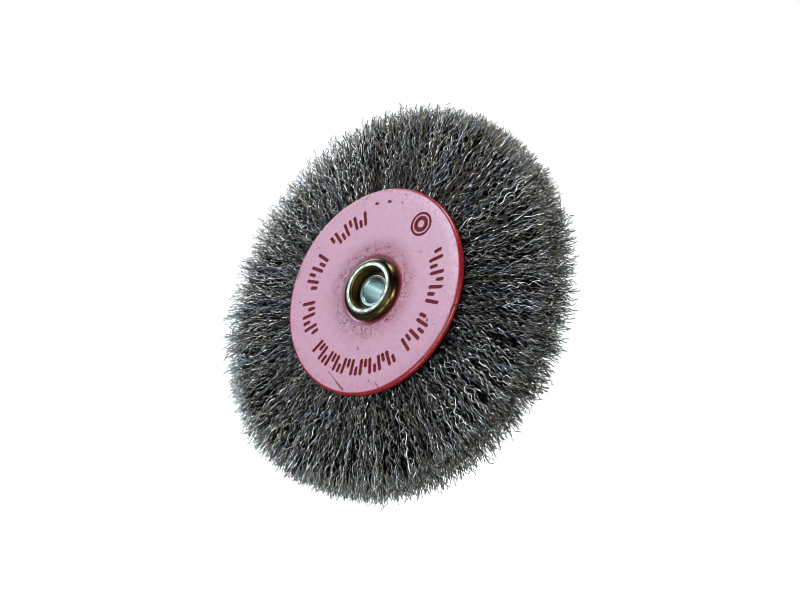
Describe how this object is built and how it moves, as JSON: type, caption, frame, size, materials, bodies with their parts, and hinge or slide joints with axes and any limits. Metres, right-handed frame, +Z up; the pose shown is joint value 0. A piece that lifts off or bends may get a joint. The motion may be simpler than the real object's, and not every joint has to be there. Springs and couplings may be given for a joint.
{
  "type": "wire wheel brush",
  "caption": "Round crimped steel wire wheel brush with red dished side plates, a rolled hub eyelet and nested reducer bushings, for a bench grinder spindle.",
  "frame": {"origin": "the middle of the arbor bore, on the wheel's axis and in its middle plane", "axes": "+Y along the wheel's axis towards the plain rear side, so the side with the pressed marks faces -Y; +Z up, and the wheel turns about Y"},
  "size_m": [0.15, 0.0284, 0.15],
  "materials": {
    "red_paint": "glossy baked red paint on pressed steel sheet",
    "yellow_zinc": "yellow passivated zinc plate on steel tube, satin gloss",
    "plain_steel": "plain bright steel, lightly oiled",
    "crimped_wire": "oil tempered crimped steel wire, dark with bright flanks",
    "dull_zinc": "dull grey zinc plate with handling marks",
    "bright_zinc": "bright zinc plate, polished"
  },
  "bodies": {
    "wheel": {"front_face_plate": "red_paint", "rear_face_plate": "red_paint", "hub_eyelet": "yellow_zinc", "hub_spacer": "plain_steel", "core_ring": "plain_steel", "wire_fill": "crimped_wire"},
    "front_outer_sleeve": {"front_outer_bushing": "dull_zinc"},
    "front_inner_sleeve": {"front_inner_bushing": "bright_zinc"},
    "rear_outer_sleeve": {"rear_outer_bushing": "dull_zinc"},
    "rear_inner_sleeve": {"rear_inner_bushing": "bright_zinc"}
  },
  "joints": [
    {"name": "front_outer_slide", "type": "slide", "parent": "wheel", "child": "front_outer_sleeve", "axis": [0, -1, 0], "range_m": [0, 0.016]},
    {"name": "front_inner_slide", "type": "slide", "parent": "front_outer_sleeve", "child": "front_inner_sleeve", "axis": [0, -1, 0], "range_m": [0, 0.0125]},
    {"name": "rear_outer_slide", "type": "slide", "parent": "wheel", "child": "rear_outer_sleeve", "axis": [0, 1, 0], "range_m": [0, 0.016]},
    {"name": "rear_inner_slide", "type": "slide", "parent": "rear_outer_sleeve", "child": "rear_inner_sleeve", "axis": [0, 1, 0], "range_m": [0, 0.0125]}
  ]
}
